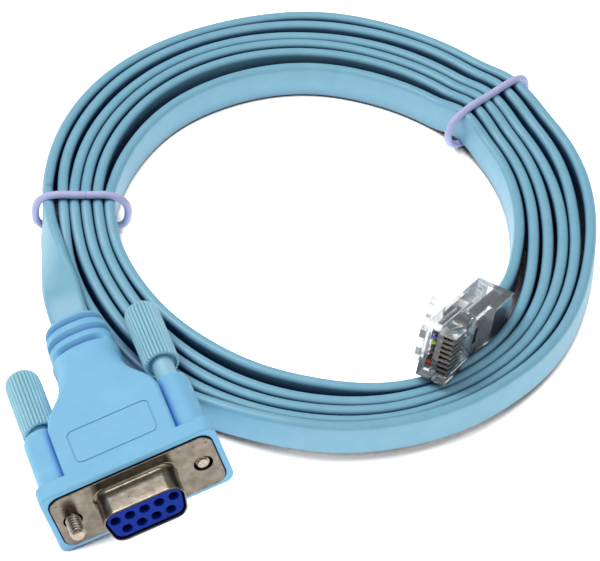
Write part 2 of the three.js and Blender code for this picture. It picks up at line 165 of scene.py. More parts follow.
def worn_nickel(m, nt, b, tc, ramp, bp):
    """Stamped, plated sheet: cloudy warm patches, a few pits."""
    v = nt.nodes.new("ShaderNodeTexVoronoi")
    v.inputs["Scale"].default_value = 520.0
    nt.links.new(tc.outputs["Object"], v.inputs["Vector"])
    pit = nt.nodes.new("ShaderNodeValToRGB")
    pit.color_ramp.elements[0].position = 0.05
    pit.color_ramp.elements[1].position = 0.13
    pit.color_ramp.elements[0].color = (0.35, 0.35, 0.35, 1)
    pit.color_ramp.elements[1].color = (1, 1, 1, 1)
    nt.links.new(v.outputs["Distance"], pit.inputs["Fac"])
    mix = nt.nodes.new("ShaderNodeMix")
    mix.data_type = "RGBA"
    mix.blend_type = "MULTIPLY"
    mix.inputs["Factor"].default_value = 1.0
    nt.links.new(ramp.outputs["Color"], mix.inputs[6])
    nt.links.new(pit.outputs["Color"], mix.inputs[7])
    nt.links.new(mix.outputs[2], b.inputs["Base Color"])


def clear_plastic(name):
    m = bpy.data.materials.new(name)
    m.use_nodes = True
    nt = m.node_tree
    b = nt.nodes["Principled BSDF"]
    tc = nt.nodes.new("ShaderNodeTexCoord")
    n = nt.nodes.new("ShaderNodeTexNoise")
    n.inputs["Scale"].default_value = 700.0
    n.inputs["Detail"].default_value = 2.0
    nt.links.new(tc.outputs["Object"], n.inputs["Vector"])
    ramp = nt.nodes.new("ShaderNodeValToRGB")
    ramp.color_ramp.elements[0].color = (0.86, 0.875, 0.885, 1)
    ramp.color_ramp.elements[1].color = (0.95, 0.955, 0.96, 1)
    nt.links.new(n.outputs["Fac"], ramp.inputs["Fac"])
    # Painted shade: the base colour darkens to near black along tight edges and inner corners, by ambient occlusion.
    ao = nt.nodes.new("ShaderNodeAmbientOcclusion")
    ao.inputs["Distance"].default_value = 0.0007
    ao.samples = 8
    near = nt.nodes.new("ShaderNodeMapRange")
    near.inputs["From Min"].default_value = 0.25
    near.inputs["From Max"].default_value = 0.6
    nt.links.new(ao.outputs["AO"], near.inputs["Value"])
    mx = nt.nodes.new("ShaderNodeMix")
    mx.data_type = "RGBA"
    nt.links.new(near.outputs["Result"], mx.inputs["Factor"])
    mx.inputs[6].default_value = (0.10, 0.12, 0.15, 1)
    nt.links.new(ramp.outputs["Color"], mx.inputs[7])
    nt.links.new(mx.outputs[2], b.inputs["Base Color"])
    mr = nt.nodes.new("ShaderNodeMapRange")
    mr.inputs["To Min"].default_value = 0.0
    mr.inputs["To Max"].default_value = 0.09
    nt.links.new(n.outputs["Fac"], mr.inputs["Value"])
    nt.links.new(mr.outputs["Result"], b.inputs["Roughness"])
    bp = nt.nodes.new("ShaderNodeBump")
    bp.inputs["Strength"].default_value = 0.08
    bp.inputs["Distance"].default_value = 0.0002
    nt.links.new(n.outputs["Fac"], bp.inputs["Height"])
    nt.links.new(bp.outputs["Normal"], b.inputs["Normal"])
    b.inputs["IOR"].default_value = 1.3
    b.inputs["Transmission Weight"].default_value = 0.9
    b.inputs["Coat Weight"].default_value = 0.8
    b.inputs["Coat Roughness"].default_value = 0.03
    b.inputs["Specular IOR Level"].default_value = 0.6
    return m


# Jacket, hood, knob, screw and insulator carry a painted shade colour, mixed into their gaps, hollows and thread roots
# by ambient occlusion.
MAT = {
    "jacket": plastic("jacket", srgb(131, 187, 211), srgb(123, 180, 204), painted_shade=srgb(3, 34, 82), reach=0.006, painted_shade_at=(0.16, 0.78), rough=(0.34, 0.46), scale=260.0, bump=0.03, grain=5200.0, specular=0.5),
    "hood": plastic("hood", srgb(130, 196, 232), srgb(124, 190, 228), painted_shade=srgb(30, 98, 192), reach=0.003, painted_shade_at=(0.2, 0.84), rough=(0.46, 0.6), scale=180.0, bump=0.05, grain=6500.0, specular=0.4),
    "knob": plastic("knob", srgb(160, 211, 226), srgb(151, 204, 221), painted_shade=srgb(40, 112, 146), reach=0.0012, painted_shade_at=(0.15, 0.8), rough=(0.4, 0.55), scale=300.0, bump=0.04, grain=5200.0, specular=0.45),
    "nickel": plastic("nickel", srgb(143, 135, 123), srgb(108, 99, 88), rough=(0.14, 0.28), scale=520.0, bump=0.06, grain=2600.0, metallic=0.95, extra=worn_nickel),
    "screw": plastic("screw", srgb(196, 184, 170), srgb(150, 136, 120), painted_shade=srgb(30, 24, 18), reach=0.0006, painted_shade_at=(0.4, 0.9), rough=(0.25, 0.42), scale=1500.0, bump=0.06, grain=5200.0, metallic=0.95),
    "insulator": plastic("insulator", srgb(0, 50, 158), srgb(0, 42, 144), painted_shade=srgb(0, 8, 70), reach=0.002, painted_shade_at=(0.1, 0.7), specular=0.08, rough=(0.32, 0.45), scale=600.0, bump=0.04, grain=4000.0),
    "gold": plastic("gold", srgb(214, 168, 92), srgb(176, 128, 60), rough=(0.2, 0.36), scale=1800.0, bump=0.03, grain=5000.0, metallic=1.0),
    "tie": plastic("tie", srgb(196, 198, 238), srgb(184, 186, 231), rough=(0.42, 0.6), scale=500.0, bump=0.06, grain=5200.0),
    "clear": clear_plastic("clear"),
}
WIRES = [(62, 62, 84), (92, 96, 206), (190, 206, 62), (26, 98, 74), (152, 44, 92), (26, 26, 30), (206, 62, 44), (122, 104, 84)]
for i, c in enumerate(WIRES):
    d = tuple(x * 0.82 for x in c)
    MAT["wire_%d" % (i + 1)] = plastic("wire_%d" % (i + 1), srgb(*c), srgb(*d), rough=(0.4, 0.55), scale=1500.0, grain=5200.0)


# ------------------------------------------------------------------ mesh helpers
def make(name, verts, faces, place=None, material=None, angle=None):
    """A mesh object from points in mm, in the layout frame or in a connector's own axes."""
    v = np.asarray(verts, float)
    if place is not None:
        v = place.p(v)
    v = row(v)
    me = bpy.data.meshes.new(name)
    me.from_pydata([tuple(p) for p in v], [], [tuple(int(k) for k in f) for f in faces])
    me.update()
    o = bpy.data.objects.new(name, me)
    bpy.context.scene.collection.objects.link(o)
    bm = bmesh.new()
    bm.from_mesh(me)
    bmesh.ops.recalc_face_normals(bm, faces=bm.faces)
    bm.to_mesh(me)
    bm.free()
    if material is not None:
        finish_mesh(o, material, angle)
    return o


def apply(o):
    """The object's modifiers, made part of its mesh."""
    dg = bpy.context.evaluated_depsgraph_get()
    me = bpy.data.meshes.new_from_object(o.evaluated_get(dg))
    o.modifiers.clear()
    old = o.data
    o.data = me
    bpy.data.meshes.remove(old)
    return o


def boolean(a, b, op):
    m = a.modifiers.new("b", "BOOLEAN")
    m.object = b
    m.operation = op
    m.solver = "EXACT"
    apply(a)
    bpy.data.objects.remove(b, do_unlink=True)
    return a


def finish_mesh(o, material, angle=None):
    """Smooth shading with hard edges over the angle, flat faces kept flat."""
    me = o.data
    me.materials.clear()
    me.materials.append(material)
    for p in me.polygons:
        p.use_smooth = True
        p.material_index = 0
    if angle is not None:
        bm = bmesh.new()
        bm.from_mesh(me)
        lim = math.radians(angle)
        for e in bm.edges:
            e.smooth = not (len(e.link_faces) == 2 and e.calc_face_angle(0.0) > lim)
        bm.to_mesh(me)
        bm.free()
        w = o.modifiers.new("w", "WEIGHTED_NORMAL")
        w.keep_sharp = True
        apply(o)
    return o


def ring_mesh(rings, closed=False, caps=True):
    """Faces over a list of equal rings of points."""
    n, k = len(rings), len(rings[0])
    verts = np.concatenate([np.asarray(r, float) for r in rings])
    faces = []
    for i in range(n if closed else n - 1):
        a, b = i * k, ((i + 1) % n) * k
        for j in range(k):
            jj = (j + 1) % k
            faces.append((a + j, a + jj, b + jj, b + j))
    if caps and not closed:
        faces.append(tuple(range(k - 1, -1, -1)))
        faces.append(tuple((n - 1) * k + j for j in range(k)))
    return verts, faces


def rounded(x0, x1, y0, y1, r, n=5):
    pts = []
    r = max(1e-4, min(r, (x1 - x0) / 2 - 1e-4, (y1 - y0) / 2 - 1e-4))
    for cx, cy, a0 in ((x1 - r, y1 - r, 0), (x0 + r, y1 - r, 90), (x0 + r, y0 + r, 180), (x1 - r, y0 + r, 270)):
        for i in range(n + 1):
            a = math.radians(a0 + 90 * i / n)
            pts.append((cx + r * math.cos(a), cy + r * math.sin(a)))
    return pts


def d_outline(w, h, r, n=6):
    """The D outline: wide row on top, sides sloping in to the narrow row."""
    slope = math.tan(math.pi / 18)
    hb = w / 2 - h * slope
    c = [np.array(p) for p in ((w / 2, h / 2), (-w / 2, h / 2), (-hb, -h / 2), (hb, -h / 2))]
    pts = []
    for i in range(4):
        p = c[i]
        a = unit(c[i - 1] - p)
        b = unit(c[(i + 1) % 4] - p)
        half = math.acos(float(a @ b)) / 2
        mid = p + unit(a + b) * (r / math.sin(half))
        s = p + a * (r / math.tan(half)) - mid
        e = p + b * (r / math.tan(half)) - mid
        a0, a1 = math.atan2(s[1], s[0]), math.atan2(e[1], e[0])
        if a1 < a0:
            a1 += 2 * math.pi
        for k in range(n + 1):
            t = a0 + (a1 - a0) * k / n
            pts.append((mid[0] + r * math.cos(t), mid[1] + r * math.sin(t)))
    return pts


def grown(outline, d):
    """An outline moved outward by d (inward when negative), point by point."""
    p = np.asarray(outline, float)
    a = np.roll(p, 1, axis=0)
    b = np.roll(p, -1, axis=0)
    t = b - a
    t /= np.maximum(1e-9, np.linalg.norm(t, axis=1))[:, None]
    nrm = np.stack([t[:, 1], -t[:, 0]], axis=1)
    area = 0.5 * np.sum(p[:, 0] * np.roll(p[:, 1], -1) - np.roll(p[:, 0], -1) * p[:, 1])
    return p + nrm * d * (1 if area > 0 else -1)


def prism(name, outline, a, b, axis, place, edge=0.0, steps=3):
    """A prism over an outline, its two rims rounded over by edge. axis is the prism's own
    direction: y with the outline in x and z, z with it in x and y, x with it in y and z."""
    lv = [(a, 0.0), (b, 0.0)]
    if edge > 0:
        lv = [(a + edge * (1 - math.sin(t)), edge * (1 - math.cos(t))) for t in np.linspace(math.pi / 2, 0, steps + 1)]
        lv = [(a + edge * (1 - math.cos(t)), edge * (1 - math.sin(t))) for t in np.linspace(0, math.pi / 2, steps + 1)]
        lv += [(b - edge * (1 - math.cos(t)), edge * (1 - math.sin(t))) for t in np.linspace(math.pi / 2, 0, steps + 1)]
    rings = []
    for y, inset in lv:
        o = grown(outline, -inset) if inset > 0 else np.asarray(outline, float)
        if axis == "y":
            rings.append(np.stack([o[:, 0], np.full(len(o), y), o[:, 1]], axis=1))
        elif axis == "z":
            rings.append(np.stack([o[:, 0], o[:, 1], np.full(len(o), y)], axis=1))
        else:
            rings.append(np.stack([np.full(len(o), y), o[:, 0], o[:, 1]], axis=1))
    v, f = ring_mesh(rings)
    return make(name, v, f, place)


def turned(name, profile, seg, place, x=0.0, z=0.0, ribs=0, amp=0.0, weight=None, closed=False):
    """A turned form around local y at (x, z): profile is (radius, y). Ribs run along it
    where weight is over 0."""
    th = np.linspace(0, 2 * math.pi, seg, endpoint=False)
    rings = []
    for k, (r, y) in enumerate(profile):
        rr = np.full(seg, max(r, 0.004))
        if ribs and weight[k] > 0:
            rr = rr - amp * weight[k] * (1 - np.abs(np.sin(th * ribs / 2)) ** 0.75)
        rings.append(np.stack([x + rr * np.cos(th), np.full(seg, y), z + rr * np.sin(th)], axis=1))
    v, f = ring_mesh(rings, closed=closed)
    return make(name, v, f, place)


def spline(xs, ys):
    """Natural cubic through (xs, ys): returns a function. ys may be vectors."""
    xs = np.asarray(xs, float)
    ys = np.asarray(ys, float)
    vec = ys.ndim == 2
    if not vec:
        ys = ys[:, None]
    n = len(xs)
    h = np.diff(xs)
    a = np.zeros((n, n))
    b = np.zeros((n, ys.shape[1]))
    a[0, 0] = a[-1, -1] = 1
    for i in range(1, n - 1):
        a[i, i - 1], a[i, i], a[i, i + 1] = h[i - 1], 2 * (h[i - 1] + h[i]), h[i]
        b[i] = 3 * ((ys[i + 1] - ys[i]) / h[i] - (ys[i] - ys[i - 1]) / h[i - 1])
    c = np.linalg.solve(a, b)
    d = (c[1:] - c[:-1]) / (3 * h[:, None])
    bb = (ys[1:] - ys[:-1]) / h[:, None] - h[:, None] * (2 * c[:-1] + c[1:]) / 3

    def f(x):
        x = np.atleast_1d(np.asarray(x, float))
        i = np.clip(np.searchsorted(xs, x, side="right") - 1, 0, n - 2)
        t = (x - xs[i])[:, None]
        y = ys[i] + bb[i] * t + c[i] * t * t + d[i] * t ** 3
        return y if vec else y[:, 0]

    return f


def along(points):
    return np.concatenate([[0], np.cumsum(np.linalg.norm(np.diff(points, axis=0), axis=1))])


def piece(o, slot, *nodes, body=BODY):
    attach(o, body)
    if nodes:
        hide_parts(*nodes)
    return o


# ------------------------------------------------------------------ the flat cable
RIBBON_W, RIBBON_T = 7.4, 2.15
CX, CY, K = 1.5, 1.0, 1.0076
# Centre radius of each strand every 15 degrees, clockwise from the left, outermost strand first.
STRANDS = [
    [50.8, 52.8, 54.65, 55.6, 55.65, 55.35, 55.15, 53.8, 52.4, 51.6, 51.5, 51.6, 51.8, 52.4, 54.05, 55.6, 56.55, 56.5, 55.55, 53.45, 52.0, 50.0, 48.6, 48.0],
    [48.2, 50.3, 52.05, 53.2, 53.4, 53.1, 52.4, 51.2, 50.05, 48.9, 48.3, 48.2, 48.5, 50.0, 51.8, 53.4, 54.3, 54.4, 53.2, 51.2, 49.6, 47.65, 46.35, 45.8],
    [46.05, 47.55, 48.9, 49.8, 49.95, 49.6, 48.7, 47.7, 46.55, 45.7, 45.05, 45.2, 45.8, 47.5, 49.5, 51.2, 52.1, 52.1, 50.8, 48.75, 46.8, 45.1, 43.9, 43.5],
    [43.8, 45.25, 46.6, 47.5, 47.7, 47.35, 46.45, 45.1, 44.1, 43.4, 42.75, 42.75, 43.1, 44.9, 47.2, 49.0, 49.9, 49.7, 48.3, 46.1, 44.0, 42.45, 41.5, 41.25],
    [41.5, 42.8, 44.2, 45.1, 45.3, 45.0, 44.1, 42.9, 41.85, 41.05, 40.4, 40.35, 40.75, 42.2, 44.6, 46.8, 47.6, 46.6, 44.3, 41.95, 40.1, 39.2, 38.9, 39.0],
    [39.3, 39.85, 40.3, 40.8, 40.85, 40.7, 40.2, 39.2, 38.6, 38.35, 38.2, 38.1, 38.3, 38.9],
]
# Small corrections to them, from where the gaps between the strands lie.
SHIFT = [
    [-.1, -.2, -.2, 0, 0, .1, .1, 0, .1, .1, .1, .2, 0, -.1, -.1, 0, 0, 0, 0, 0, 0, 0, 0, -.1],
    [-.3, -.3, -.2, 0, .1, .1, .1, .1, .2, .2, .25, .3, .1, -.2, -.3, -.5, -.8, -.95, -1.0, -.7, -.8, -.8, -.8, -.5],
    [-.15, -.15, 0, .2, .5, .5, .4, .3, .3, .35, .4, .4, .5, 0, -.2, -.3, -.7, -.9, -1.0, -.7, -.75, -.75, -.8, -.45],
    [0, 0, .1, .35, .75, .75, .7, .6, .6, .5, .5, .4, .45, 0, 0, -.1, -.3, -.5, -.75, -.55, -.5, -.6, -.7, -.4],
    [.1, .1, 0, .2, .4, .5, .5, .5, .5, .5, .4, .4, .3, 0, 0, 0, -.1, -.3, -.7, -.5, -.4, -.5, -.6, -.3],
    [.2, .1, 0, 0, 0, 0, 0, 0, 0, 0, -.05, -.05, -.05, 0],
]
RADII = np.array([r + d for s, t in zip(STRANDS, SHIFT) for r, d in zip(s, t)])
DEGS = np.arange(len(RADII)) * 15.0
SPREAD = 0.08
radius_at = spline(DEGS, (RADII + (2.8 - DEGS / 360.0) * SPREAD) * K)


def bump(x, c, half):
    d = abs(x - c) / half
    return 0.5 * (1 + math.cos(math.pi * d)) if d < 1 else 0.0


def lift(deg):
    """Height of the strand's underside, by its turned angle from the left tie."""
    # The outermost strand stands off the floor along the near side.
    up = float(np.interp(deg, [0, 196, 214, 232, 275, 290, 306, 330], [0, 0, 0.7, 2.1, 2.3, 1.5, 0.3, 0]))
    # Over the underside of each tie the whole bundle stands a little proud of the floor.
    for c, half in ((0.0, 14.0), (139.0, 13.0)):
        up += 1.75 * bump(min(deg % 360.0, 360.0 - deg % 360.0) if c == 0.0 else deg % 360.0, c, half)
    return up


def lean(deg):
    """How far the strand's top leans outward, in mm over its width."""
    turn, a = divmod(deg, 360.0)
    if turn >= 5:
        return float(np.interp(a, [0, 30, 60, 90, 120, 150, 170, 185, 200], [0.0, 0.2, 0.4, 0.5, 0.6, 0.7, 0.7, 0.7, 0.5]))
    return 0.0


def coil_frame(deg):
    a = math.radians(180.0 - deg)
    r = float(radius_at(deg)[0])
    o = np.array([math.cos(a), math.sin(a), 0.0])
    le = lean(deg) / RIBBON_W
    w = unit([o[0] * le, o[1] * le, 1.0])
    half = RIBBON_W / 2 * w[2] + RIBBON_T / 2 * math.hypot(w[0], w[1])
    c = np.array([CX, CY, 0.0]) + o * r
    c[2] = lift(deg) + half + 0.02
    return c, w


COIL_END = 5 * 360 + 190.0
# The lead from the boot: its centre, and the direction of the cable's width there.
LEAD = [
    [(-45.2, -25.5, 8.1), (0.915, 0.31, 0.26)],
    [(-46.3, -20.9, 7.9), (0.89, 0.315, 0.33)],
    [(-46.99, -17.5, 6.97), (0.817, 0.303, 0.491)],
    [(-47.71, -13.94, 6.25), (0.64, 0.198, 0.742)],
    [(-48.36, -10.41, 5.93), (0.5, 0.128, 0.856)],
    [(-48.95, -6.93, 5.67), (0.352, 0.094, 0.931)],
    [(-49.6, -3.37, 5.56), (0.236, 0.055, 0.97)],
    [(-49.9, 0.34, 5.5), (0.12, 0.0, 0.99)],
]


def cable_path():
    """Centre and width direction along the whole cable, from the boot to the plug."""
    pts, wid = [], []
    # Lead: out of the boot lying flat, then twisting on edge as it meets the ring.
    at = [DSUB.one(0, 42.5, 0), DSUB.one(0, 44.2, 0)] + [np.array(c) for c, _ in LEAD]
    wd = [DSUB.x, DSUB.x] + [unit(w) for _, w in LEAD]
    for d in (6.0, 10.0, 14.0):
        c, w = coil_frame(d)
        at.append(c)
        wd.append(w)
    at = np.array(at)
    s = along(at)
    f, fw = spline(s, at), spline(s, np.array(wd))
    for t in np.linspace(0, s[-3], 64)[:-1]:
        c = f(t)[0]
        tan = unit(f(t + 0.2)[0] - f(max(0.0, t - 0.2))[0])
        w = fw(t)[0]
        pts.append(c)
        wid.append(unit(w - tan * (w @ tan)))
    # The ring.
    step = 1.6
    d = 6.0
    while d < COIL_END - 0.5:
        c, w = coil_frame(d)
        pts.append(c)
        wid.append(w)
        d += step

    def q(deg, r, z):
        a = math.radians(180 - deg)
        return np.array([CX + r * math.cos(a), CY + r * math.sin(a), z])

    # Lead: off the inside of the ring, up into the back of the modular plug.
    c0, w0 = coil_frame(COIL_END)
    tail = [coil_frame(COIL_END - 3)[0], c0, coil_frame(COIL_END + 3)[0],
            PLUG.one(21.46 + 8.0, 3.3, 5.84) * 0.5 + q(204, float(radius_at(5 * 360 + 195)[0]) + 0.6, 4.4) * 0.5,
            PLUG.one(21.46 + 1.0, 3.75, 5.84), PLUG.one(16.0, 3.75, 5.84), PLUG.one(10.6, 3.75, 5.84)]
    tail = np.array(tail)
    s = along(tail)
    f = spline(s, tail)
    w_end = -PLUG.z
    for t in np.linspace(s[1], s[-1], 44):
        c = f(t)[0]
        k = min(1.0, max(0.0, (t - s[1]) / (s[4] - s[1])))
        k = k * k * (3 - 2 * k)
        tan = unit(f(min(s[-1], t + 0.3))[0] - f(max(0, t - 0.3))[0])
        w = unit(w0 * (1 - k) + w_end * k)
        pts.append(c)
        wid.append(unit(w - tan * (w @ tan)))
    return np.array(pts), np.array(wid)


P, W = cable_path()
T = np.gradient(P, axis=0)
T /= np.linalg.norm(T, axis=1)[:, None]
N = np.cross(T, W)
N /= np.linalg.norm(N, axis=1)[:, None]
sec = np.array(rounded(-RIBBON_W / 2, RIBBON_W / 2, -RIBBON_T / 2, RIBBON_T / 2, 0.92, 5))
rings = [P[i] + np.outer(sec[:, 0], W[i]) + np.outer(sec[:, 1], N[i]) for i in range(len(P))]
v, f = ring_mesh(rings)
ribbon = make("flat_cable", v, f, None, MAT["jacket"])
piece(ribbon, "jacket", "cable_coil", "cable_lead_connector", "cable_lead_plug", "cable_jacket_end")


# ------------------------------------------------------------------ the two ties
def tie(name, node, origin, direction, pts):
    c = np.array([[origin[0] + direction[0] * u, origin[1] + direction[1] * u, z] for u, z in pts])
    s = along(c)
    f = spline(s, c)
    n = np.array([-direction[1], direction[0], 0.0])
    rings = []
    ts = np.linspace(0, s[-1], 120)
    th = np.linspace(0, 2 * math.pi, 16, endpoint=False)
    for i, t in enumerate(ts):
        p = f(t)[0]
        tan = unit(f(min(s[-1], t + 0.1))[0] - f(max(0, t - 0.1))[0])
        b = np.cross(tan, n)
        e = min(t, s[-1] - t)
        r = 0.74 * (1.0 if e > 0.5 else math.sqrt(max(0.05, 1 - (1 - e / 0.5) ** 2)))
        rings.append(p + r * (np.outer(np.cos(th), n) + np.outer(np.sin(th), b)))
    v, f2 = ring_mesh(rings)
    o = make(name, v, f2, None, MAT["tie"], 60)
    return piece(o, "tie", node)


tie("tie_cord_left", "tie_left", (CX, CY + 1.6), (-1.0, 0.0),
    [(43.8, 9.78), (45, 9.75), (48.5, 9.85), (50.8, 9.6), (53.2, 8.2), (54.05, 5.2), (53.6, 2.3), (51.6, 1.05), (46, 0.9), (40.5, 0.95), (37.2, 1.9), (36.25, 4.6),
     (36.9, 7.9), (39.2, 9.5), (41.5, 9.85), (43.1, 9.77), (44.4, 9.78)])
A2 = math.radians(180 - 139)
tie("tie_cord_right", "tie_right", (CX, CY), (math.cos(A2), math.sin(A2)),
    [(44.7, 9.52), (45.9, 9.5), (51.5, 9.4), (54.3, 8.2), (55.1, 5.0), (54.7, 2.3), (52.8, 1.1), (46, 0.9), (39.2, 0.95), (35.7, 2.0), (34.3, 4.6), (35.2, 7.8),
     (38.6, 9.3), (41.5, 9.55), (44.1, 9.52), (45.3, 9.52)])


# ------------------------------------------------------------------ the moulded hood
def hood():
    y = np.array([3.0, 8.0, 12.0, 14.5, 15.6, 16.2, 16.8, 17.4, 18.0, 18.7, 19.4, 20.2, 21.0, 22.0, 23.0, 24.2, 25.6, 27.0, 28.6, 30.4, 32.0, 33.2, 34.0, 34.5, 34.8, 34.95])
    hw = np.interp(y, [3, 15.6, 16.4, 18, 19.3, 20.6, 22, 23.4, 24.8, 26.4, 28.5, 30.5, 33.2, 34.2, 34.6, 34.85, 34.95],
                   [10.7, 10.7, 10.6, 10.2, 9.6, 8.8, 7.9, 7.2, 6.7, 6.4, 6.25, 6.2, 6.4, 6.45, 6.3, 6.05, 5.6])
    hz = np.interp(y, [3, 18, 22, 25, 29, 32, 33.5, 34.3, 34.7, 34.95], [7.45, 7.45, 7.36, 7.15, 6.5, 5.75, 5.4, 5.1, 4.8, 4.35])
    rc = np.interp(y, [3, 15, 20, 26, 32, 34.95], [0.7, 0.8, 1.3, 2.6, 3.8, 3.9])
    rings = []
    for yy, a, b, r in zip(y, hw, hz, rc):
        o = np.array(rounded(-a, a, -b, b, r, 8))
        # The broad faces are very slightly crowned.
        o[:, 1] -= np.sign(o[:, 1]) * 0.10 * (o[:, 0] / a) ** 2
        rings.append(np.stack([o[:, 0], np.full(len(o), yy), o[:, 1]], axis=1))
    v, f = ring_mesh(rings)
    body = make("connector_hood_moulding", v, f, DSUB)
    flange = prism("flange", rounded(-16.7, 16.7, -7.4, 7.5, 1.8, 8), 0.35, 3.9, "y", DSUB, 0.4, 5)
    boolean(body, flange, "UNION")
    for s in (-1, 1):
        x0, x1 = sorted((s * 9.6, s * 16.0))
        rings = []
        for yy, d in [(3.0, 0), (9.0, 0), (17.1, 0), (17.6, 0.06), (18.1, 0.22), (18.45, 0.45), (18.7, 0.75), (18.8, 1.1)]:
            o = np.array(rounded(x0 + d, x1 - d, -6.0 + d, 6.0 - d, 2.9 - d, 8))
            rings.append(np.stack([o[:, 0], np.full(len(o), yy), o[:, 1]], axis=1))
        v, f = ring_mesh(rings)
        boolean(body, make("boss", v, f, DSUB), "UNION")
    # The ribbed boot: each ring of it overlaps the next like a scale.
    th = np.linspace(0, 2 * math.pi, 64, endpoint=False)
    prof = []

    def groove(yc, w, d, only_top):
        return [(yc - w * 0.16, -0.02, 0), (yc - w * 0.12, d, only_top), (yc + w * 0.2, d * 0.95, only_top), (yc + w * 0.5, d * 0.6, only_top), (yc + w * 0.8, d * 0.2, only_top), (yc + w, 0.0, 0)]

    prof += [(32.4, 0.0, 0)]
    prof += groove(35.5, 1.5, 1.5, 1)
    prof += groove(38.6, 1.6, 1.5, 0)
    prof += groove(41.9, 1.5, 1.45, 0)
    prof += [(43.8, 0.05, 0), (44.2, 0.2, 0), (44.45, 0.5, 0), (44.5, 0.85, 0)]
    rings = []
    for yy, d, top in prof:
        base_a = float(np.interp(yy, [32, 35, 38, 41, 43, 44], [6.0, 6.1, 6.1, 6.0, 5.75, 5.5]))
        base_b = float(np.interp(yy, [32, 35, 38, 41, 43, 44], [4.6, 4.6, 4.5, 4.35, 4.2, 4.05]))
        dd = np.full(len(th), float(d))
        if top:
            dd = d * np.clip((np.abs(np.sin(th)) - 0.55) / 0.3, 0, 1)
        c, sn = np.cos(th), np.sin(th)
        k = 2.0 / 2.5
        ex, ez = np.sign(c) * np.abs(c) ** k, np.sign(sn) * np.abs(sn) ** k
        rings.append(np.stack([ex * (base_a - dd), np.full(len(th), yy), ez * (base_b - dd)], axis=1))
    v, f = ring_mesh(rings)
    boolean(body, make("boot", v, f, DSUB), "UNION")
    # What is cut out of it: the plate's seat, the pocket behind it, two screw bores and the
    # fine outline of a bare panel.
    px, pz = 30.81 / 2 + 0.28, 12.55 / 2 + 0.28
    boolean(body, prism("seat", rounded(-px, px, -pz, pz, 2.4, 8), -2.0, 1.3, "y", DSUB), "DIFFERENCE")
    boolean(body, prism("pocket", d_outline(16.13, 7.7, 2.5), 0.5, 6.4, "y", DSUB), "DIFFERENCE")
    for s in (-1, 1):
        bore = turned("bore", [(2.3, -2.0), (2.3, 24.0)], 40, DSUB, x=s * 12.495)
        boolean(body, bore, "DIFFERENCE")
    ring = prism("ring", rounded(-7.95, 7.85, 4.85, 13.15, 1.35, 8), 7.0, 9.0, "z", DSUB)
    boolean(ring, prism("ring_in", rounded(-7.6, 7.5, 5.2, 12.8, 1.05, 8), 6.0, 10.0, "z", DSUB), "DIFFERENCE")
    # The groove follows the crowned face 0.17 mm deep.
    for vtx in ring.data.vertices:
        q = np.array(vtx.co) / S - OFFSET - DSUB.t
        z = q @ DSUB.z
        if z < 8:
            x = q @ DSUB.x
            want = 7.45 - 0.10 * (x / 10.7) ** 2 - 0.17
            vtx.co += Vector((DSUB.z * (want - z) * S).tolist())
    boolean(body, ring, "DIFFERENCE")
    finish_mesh(body, MAT["hood"], 32)
    return piece(body, "hood", "connector_hood")


hood()


# ------------------------------------------------------------------ shell, insulator, contacts
def nickel_shell():
    plate = prism("dsub_shell_plated", rounded(-30.81 / 2, 30.81 / 2, -12.55 / 2, 12.55 / 2, 2.2, 8), 0.0, 1.0, "y", DSUB, 0.12, 3)
    boolean(plate, prism("mouth", d_outline(16.33, 7.9, 2.6), -1.0, 2.0, "y", DSUB), "DIFFERENCE")
    for s in (-1, 1):
        boolean(plate, turned("hole", [(1.8, -2.0), (1.8, 3.0)], 36, DSUB, x=s * 12.495), "DIFFERENCE")
    # The drawn tube, flaring into the plate, with a rolled rim.
    prof = [(0.95, 0.95), (0.85, 0.02), (0.55, -0.06), (0.32, -0.2), (0.14, -0.42), (0.03, -0.75), (0.0, -1.2), (0.0, -3.5), (0.0, -5.72), (-0.04, -5.87), (-0.13, -5.97), (-0.22, -6.0),
            (-0.31, -5.96), (-0.38, -5.84), (-0.4, -5.7), (-0.4, -3.0), (-0.4, 0.95)]
    rings = []
    for d, y in prof:
        o = np.array(d_outline(16.33 + 2 * d, 7.9 + 2 * d, 2.6 + d))
        rings.append(np.stack([o[:, 0], np.full(len(o), y), o[:, 1]], axis=1))
    v, f = ring_mesh(rings, closed=True)
    boolean(plate, make("tube", v, f, DSUB), "UNION")
    finish_mesh(plate, MAT["nickel"], 40)
    return piece(plate, "nickel", "dsub_shell")


nickel_shell()

HOLES = [((i - 2) * 2.77, 1.42) for i in range(5)] + [((i - 1.5) * 2.77, -1.42) for i in range(4)]


def insulator():
    gap = 0.7
    block = prism("socket_insulator_moulding", d_outline(16.33 - 2 * gap, 7.9 - 2 * gap, 2.6 - gap), -5.6, 6.0, "y", DSUB, 0.22, 3)
    tools = None
    for x, z in HOLES:
        h = turned("hole", [(1.05, -7.0), (1.0, -5.55), (0.8, -5.25), (0.8, 7.0)], 24, DSUB, x=x, z=z)
        if tools is None:
            tools = h
        else:
            boolean(tools, h, "UNION")
    boolean(block, tools, "DIFFERENCE")
    finish_mesh(block, MAT["insulator"], 40)
    return piece(block, "insulator", "socket_insulator")


insulator()

for i, (x, z) in enumerate(HOLES):
    c = turned("socket_contact_pin_%d" % (i + 1), [(0.33, -4.0), (0.36, -4.12), (0.44, -4.18), (0.5, -4.1), (0.52, -3.9), (0.52, 5.7), (0.45, 5.8), (0.02, 5.8), (0.02, 5.6), (0.02, 1.3), (0.3, 1.1), (0.32, 0.9)],
               24, DSUB, x=x, z=z, closed=True)
    finish_mesh(c, MAT["gold"], 40)
    piece(c, "gold", "socket_contact_%d" % (i + 1))


